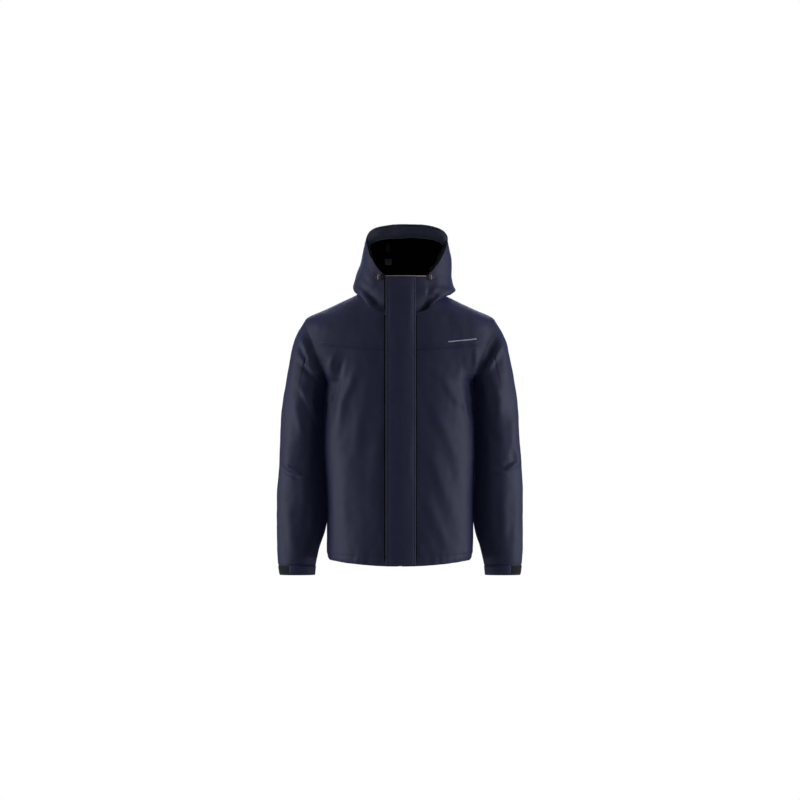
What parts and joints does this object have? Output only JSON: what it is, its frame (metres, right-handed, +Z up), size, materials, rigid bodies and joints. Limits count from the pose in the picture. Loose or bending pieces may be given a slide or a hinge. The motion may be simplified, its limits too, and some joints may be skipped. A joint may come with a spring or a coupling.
{
  "type": "foul weather jacket",
  "caption": "Hooded waterproof sailing jacket with a full-length zip under a storm flap, yoke seams, hook-and-loop cuff tabs, cord locks at the chin and a plain reflective bar on the chest.",
  "frame": {"origin": "The middle of the neck opening, level with the neck seam at the nape.", "axes": "+Z up along the wearer's spine, the wearer faces -Y, the wearer's left hand is at +X."},
  "size_m": [0.664, 0.2986, 0.944],
  "materials": {
    "shell_cloth": "navy coated nylon shell with a soft sheen",
    "lining_mesh": "black lining",
    "facing_cloth": "navy facing cloth",
    "binding_tape": "matt brown-grey binding tape",
    "hook_loop": "black hook and loop tape",
    "zip_tape": "woven zip tape",
    "zip_plastic": "moulded acetal teeth, pin and box",
    "slider_metal": "black lacquered zinc slider and pull",
    "cord": "braided grey elastic cord",
    "lock_plastic": "grey-brown moulded cord lock",
    "eyelet_metal": "black lacquered eyelet",
    "spring_steel": "bright spring wire",
    "reflective": "plain silver reflective transfer",
    "label_cloth": "blank woven label"
  },
  "bodies": {
    "torso": {"back_panel": "shell_cloth", "back_yoke": "shell_cloth", "front_panel_left": "shell_cloth", "front_panel_right": "shell_cloth", "front_yoke_left": "shell_cloth", "front_yoke_right": "shell_cloth", "body_lining": "lining_mesh", "hem_facing": "facing_cloth", "collar": "shell_cloth", "collar_lining": "lining_mesh", "chin_binding": "binding_tape", "zip_tape_left": "zip_tape", "zip_tape_right": "zip_tape", "zip_teeth_left": "zip_plastic", "zip_teeth_right": "zip_plastic", "zip_box": "zip_plastic", "zip_pin": "zip_plastic", "zip_guard": "shell_cloth", "flap_loop_patches": "hook_loop", "drawcord_left": "cord", "drawcord_right": "cord", "eyelet_left": "eyelet_metal", "eyelet_right": "eyelet_metal", "hang_loop": "label_cloth", "chest_reflector": "reflective"},
    "hood": {"hood_side_left": "shell_cloth", "hood_side_right": "shell_cloth", "hood_centre": "shell_cloth", "hood_lining": "lining_mesh", "hood_brim_facing": "facing_cloth", "hood_label": "label_cloth", "hood_tab": "label_cloth"},
    "storm_flap": {"storm_flap": "shell_cloth", "flap_hook_patches": "hook_loop"},
    "zip_slider": {"zip_slider": "slider_metal"},
    "zip_pull": {"zip_pull": "slider_metal"},
    "sleeve_left": {"top_sleeve_left": "shell_cloth", "under_sleeve_left": "shell_cloth", "sleeve_lining_left": "lining_mesh", "cuff_facing_left": "facing_cloth", "cuff_loop_patch_left": "hook_loop"},
    "cuff_tab_left": {"cuff_tab_left": "shell_cloth", "cuff_hook_patch_left": "hook_loop"},
    "cord_lock_left": {"cord_lock_body_left": "lock_plastic", "cord_lock_spring_left": "spring_steel"},
    "cord_lock_plunger_left": {"cord_lock_plunger_left": "lock_plastic"},
    "sleeve_right": {"top_sleeve_right": "shell_cloth", "under_sleeve_right": "shell_cloth", "sleeve_lining_right": "lining_mesh", "cuff_facing_right": "facing_cloth", "cuff_loop_patch_right": "hook_loop"},
    "cuff_tab_right": {"cuff_tab_right": "shell_cloth", "cuff_hook_patch_right": "hook_loop"},
    "cord_lock_right": {"cord_lock_body_right": "lock_plastic", "cord_lock_spring_right": "spring_steel"},
    "cord_lock_plunger_right": {"cord_lock_plunger_right": "lock_plastic"}
  },
  "joints": [
    {"name": "hood_fold", "type": "hinge", "parent": "torso", "child": "hood", "pos_m": [0, 0.092, 0.008], "axis": [-1, 0, 0], "range_deg": [0, 75]},
    {"name": "flap_open", "type": "hinge", "parent": "torso", "child": "storm_flap", "pos_m": [0.042, -0.1509, -0.735], "axis": [0, 0.0467, 0.9989], "range_deg": [0, 150]},
    {"name": "zip_run", "type": "slide", "parent": "torso", "child": "zip_slider", "axis": [0, -0.0467, -0.9989], "range_m": [0, 0.7]},
    {"name": "pull_swing", "type": "hinge", "parent": "zip_slider", "child": "zip_pull", "pos_m": [0, -0.11504, 0.0205], "axis": [-1, 0, 0], "range_deg": [0, 12]},
    {"name": "sleeve_raise_left", "type": "hinge", "parent": "torso", "child": "sleeve_left", "pos_m": [0.248, 0, -0.08], "axis": [0, -1, 0], "range_deg": [0, 60]},
    {"name": "cuff_tab_open_left", "type": "hinge", "parent": "sleeve_left", "child": "cuff_tab_left", "pos_m": [0.231, -0.0415, -0.755], "axis": [0, 0, -1], "range_deg": [0, 110]},
    {"name": "cord_lock_slide_left", "type": "slide", "parent": "torso", "child": "cord_lock_left", "axis": [-0.878, -0.4787, 0], "range_m": [-0.0025, 0.0025]},
    {"name": "cord_lock_press_left", "type": "slide", "parent": "cord_lock_left", "child": "cord_lock_plunger_left", "axis": [0, 0, -1], "range_m": [0, 0.003], "stiffness_N_per_m": 400, "springref_m": -0.002, "deforming": ["cord_lock_spring_left"]},
    {"name": "sleeve_raise_right", "type": "hinge", "parent": "torso", "child": "sleeve_right", "pos_m": [-0.248, 0, -0.08], "axis": [0, 1, 0], "range_deg": [0, 60]},
    {"name": "cuff_tab_open_right", "type": "hinge", "parent": "sleeve_right", "child": "cuff_tab_right", "pos_m": [-0.231, -0.0415, -0.755], "axis": [0, 0, 1], "range_deg": [0, 110]},
    {"name": "cord_lock_slide_right", "type": "slide", "parent": "torso", "child": "cord_lock_right", "axis": [0.9196, -0.3928, 0], "range_m": [-0.0025, 0.0025]},
    {"name": "cord_lock_press_right", "type": "slide", "parent": "cord_lock_right", "child": "cord_lock_plunger_right", "axis": [0, 0, -1], "range_m": [0, 0.003], "stiffness_N_per_m": 400, "springref_m": -0.002, "deforming": ["cord_lock_spring_right"]}
  ]
}
